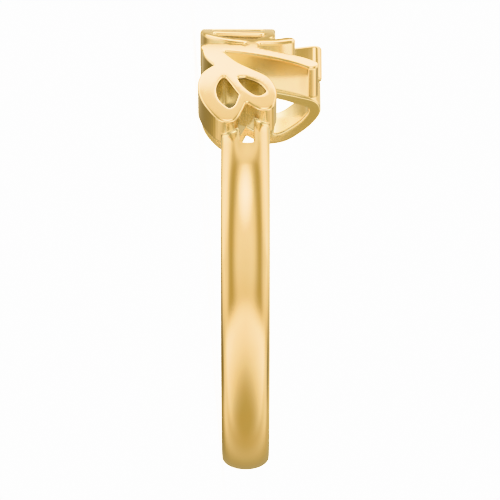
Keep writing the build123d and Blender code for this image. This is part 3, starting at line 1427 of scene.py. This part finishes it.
@dataclass
class Studio:
    """The pale floor, the soft light and the camera of the picture.

    Attributes:
        place: Where the ring rests.
        focal_px: The lens's length, in points of the picture.
        picture: The picture's width in points.
        sensor: The width of the camera's sensor, in millimetres.
        clip: The nearest and the farthest that the camera sees, in metres.
        distance: How far the camera is from the middle of the hole, in millimetres.
        aim_up: How far above it the camera aims as the ring is drawn.
        aim_across: How high up the ring it aims, which lies across the picture.
        lamp_white: The lamps' colour.
        amber: The colour of the room round them.
        surroundings: The room's level.
        white: The level of the empty picture behind the ring.
        floor_radii: The radii of the floor's first and last ring of points, in metres.
        floor_grid: How many rings of points the floor has, and how many points each has.
        floor_grey: The floor's own shade.
        floor_roughness: How dull it is.
        floor_glow: Its level as seen by the camera.
        ceiling_place: Where the ceiling lamp hangs, in metres.
        ceiling_size: The ceiling lamp's width in metres.
        ceiling_power: Its power in watts.
    """

    place: RestingPlace
    focal_px: float = 3655.0
    picture: float = 500.0
    sensor: float = 36.0
    clip: tuple[float, float] = (0.01, 20.0)
    distance: float = 170.0
    aim_up: float = 0.084
    aim_across: float = 2.37
    lamp_white: Colour = (1.0, 1.0, 1.0)
    amber: Colour = (1.0, 0.79, 0.34)
    surroundings: float = 0.57
    white: float = 6.0
    floor_radii: tuple[float, float] = (0.02, 6.0)
    floor_grid: tuple[int, int] = (24, 96)
    floor_grey: float = 0.8
    floor_roughness: float = 0.9
    floor_glow: float = 4.0
    ceiling_place: tuple[float, float, float] = (0.05, -0.1, 0.5)
    ceiling_size: float = 0.5
    ceiling_power: float = 3.2

    def directions(self) -> tuple[Vector, Vector, Vector]:
        """The picture's own directions, as the ring lies.

        Returns:
            Its right, its up, and the way back to the camera.
        """
        start = self.place.apply(np.zeros((1, 3)))[0]
        drawn = np.array([[0, 0, 1], [0, -1, 0], [1, 0, 0]], float)
        right, up, back = (self.place.apply(drawn) - start).tolist()
        return Vector(right), Vector(up), Vector(back)

    def camera(self) -> bpy.types.Object:
        """Sets the camera at the picture's angle, level with the ring and turned on its side.

        Returns:
            The camera.
        """
        lens = bpy.data.cameras.new("camera")
        lens.sensor_width = self.sensor
        lens.lens = self.focal_px / self.picture * self.sensor
        lens.clip_start, lens.clip_end = self.clip
        camera = put_in_scene("camera", lens)
        eye = self.place.apply(np.array([[self.distance, -self.aim_up, self.aim_across]]))[0] * MM
        turn = Matrix(self.directions()).transposed().to_4x4()
        camera.matrix_world = Matrix.Translation(Vector(eye)) @ turn
        bpy.context.scene.camera = camera
        return camera

    def floor(self) -> bpy.types.Object:
        """Lays the pale floor: a wide disc whose radius grows evenly in proportion from ring to ring.

        Returns:
            The floor.
        """
        rings, around = self.floor_grid
        radii = np.geomspace(*self.floor_radii, rings)
        angle = np.linspace(0, 2 * math.pi, around, endpoint=False)
        x, y = radii[:, None] * np.cos(angle), radii[:, None] * np.sin(angle)
        points = np.vstack([[[0, 0, 0]], np.stack([x, y, np.zeros_like(x)], -1).reshape(-1, 3)])
        here = np.arange(around)
        following = (here + 1) % around
        core = np.stack([np.zeros(around, int), 1 + here, 1 + following], 1)
        base = 1 + np.arange(rings - 1)[:, None] * around
        corners = (base + here, base + around + here, base + around + following, base + following)
        bands = np.stack(corners, -1).reshape(-1, 4)
        mesh = bpy.data.meshes.new("floor")
        mesh.from_pydata(points.tolist(), [], core.tolist() + bands.tolist())
        floor = put_in_scene("floor", mesh)
        material = bpy.data.materials.new("pale floor")
        material.use_nodes = True
        shader = material.node_tree.nodes["Principled BSDF"]
        shader.inputs["Base Color"].default_value = (*[self.floor_grey] * 3, 1)
        shader.inputs["Roughness"].default_value = self.floor_roughness
        shader.inputs["Specular IOR Level"].default_value = 0.0
        shader.inputs["Emission Color"].default_value = (1, 1, 1, 1)
        shader.inputs["Emission Strength"].default_value = self.floor_glow
        mesh.materials.append(material)
        floor.visible_glossy = False
        return floor

    def ceiling_lamp(self) -> None:
        """Hangs the large lamp that lights the floor and gives the ring its faint, soft shadow."""
        lamp = bpy.data.lights.new("ceiling lamp", "AREA")
        lamp.shape = "DISK"
        lamp.size = self.ceiling_size
        lamp.energy = self.ceiling_power
        hung = put_in_scene("ceiling lamp", lamp)
        hung.location = self.ceiling_place
        hung.rotation_euler = Vector(self.ceiling_place).to_track_quat("Z", "Y").to_euler()
        hung.visible_glossy = False

    def world(self) -> None:
        """Makes the light all round: an amber room with the panels in it, white to the camera.

        With R, U and B the picture's right, its up and the way back to the camera, a way d is
        looked along at arcsin(d.R) across and arctan(d.U / d.B) up. The panels take their turns:
        a lamp adds its light, a flag or a card multiplies what is there, and a card also
        multiplies the room's level.
        """
        world = bpy.data.worlds.new("studio")
        bpy.context.scene.world = world
        world.use_nodes = True
        world.cycles_visibility.diffuse = False
        board = NodeBoard(world.node_tree)
        place = board.add("ShaderNodeTexCoord")
        along = []
        for direction in self.directions():
            node = board.add("ShaderNodeVectorMath")
            node.operation = "DOT_PRODUCT"
            node.inputs[1].default_value = direction
            board.join(place.outputs["Generated"], node.inputs[0])
            along.append(node.outputs["Value"])
        right, up, back = along
        sideways = board.maths("MULTIPLY", board.maths("ARCSINE", right), 180 / math.pi)
        upward = board.maths("MULTIPLY", board.maths("ARCTAN2", up, back), 180 / math.pi)

        lamps: Socket | float = 0.0
        room: Socket | float = self.surroundings
        for panel in PANELS:
            level = panel.level(board, sideways, upward)
            lamps = board.maths("ADD" if panel.kind is Stand.LAMP else "MULTIPLY", lamps, level)
            if panel.kind is Stand.CARD:
                room = board.maths("MULTIPLY", room, level)

        light = board.add("ShaderNodeAddShader")
        for slot, (level, colour) in enumerate(((lamps, self.lamp_white), (room, self.amber))):
            glow = board.add("ShaderNodeBackground")
            glow.inputs["Color"].default_value = (*colour, 1)
            board.join(level, glow.inputs["Strength"])
            board.join(glow.outputs[0], light.inputs[slot])
        white = board.add("ShaderNodeBackground")
        white.inputs["Strength"].default_value = self.white
        mix = board.add("ShaderNodeMixShader")
        board.join(board.add("ShaderNodeLightPath").outputs["Is Camera Ray"], mix.inputs[0])
        board.join(light.outputs[0], mix.inputs[1])
        board.join(white.outputs[0], mix.inputs[2])
        board.join(mix.outputs[0], board.add("ShaderNodeOutputWorld").inputs["Surface"])

    def build(self) -> None:
        """Sets up floor, light, camera and the way that light turns into picture colours."""
        self.floor()
        self.ceiling_lamp()
        self.world()
        self.camera()
        view = bpy.context.scene.view_settings
        view.view_transform = "Khronos PBR Neutral"
        view.look = "None"


def main() -> None:
    """Builds the ring and the studio."""
    logging.basicConfig(level=logging.INFO, format="%(name)s %(message)s")
    sizes = RingSizes()
    flourish = Flourish(sizes)
    plate = Plate(sizes, flourish)
    shank = Shank(sizes, flourish)
    place = RestingPlace.from_record(frame["record"], shank.middle)
    body = FlourishRing(plate, shank, place, PolishedGold()).build()
    LOG.info("%s: %d points, %d faces", body.name, len(body.data.vertices), len(body.data.polygons))
    Studio(place).build()
    LOG.info("studio is set up")


if __name__ == "__main__":
    main()
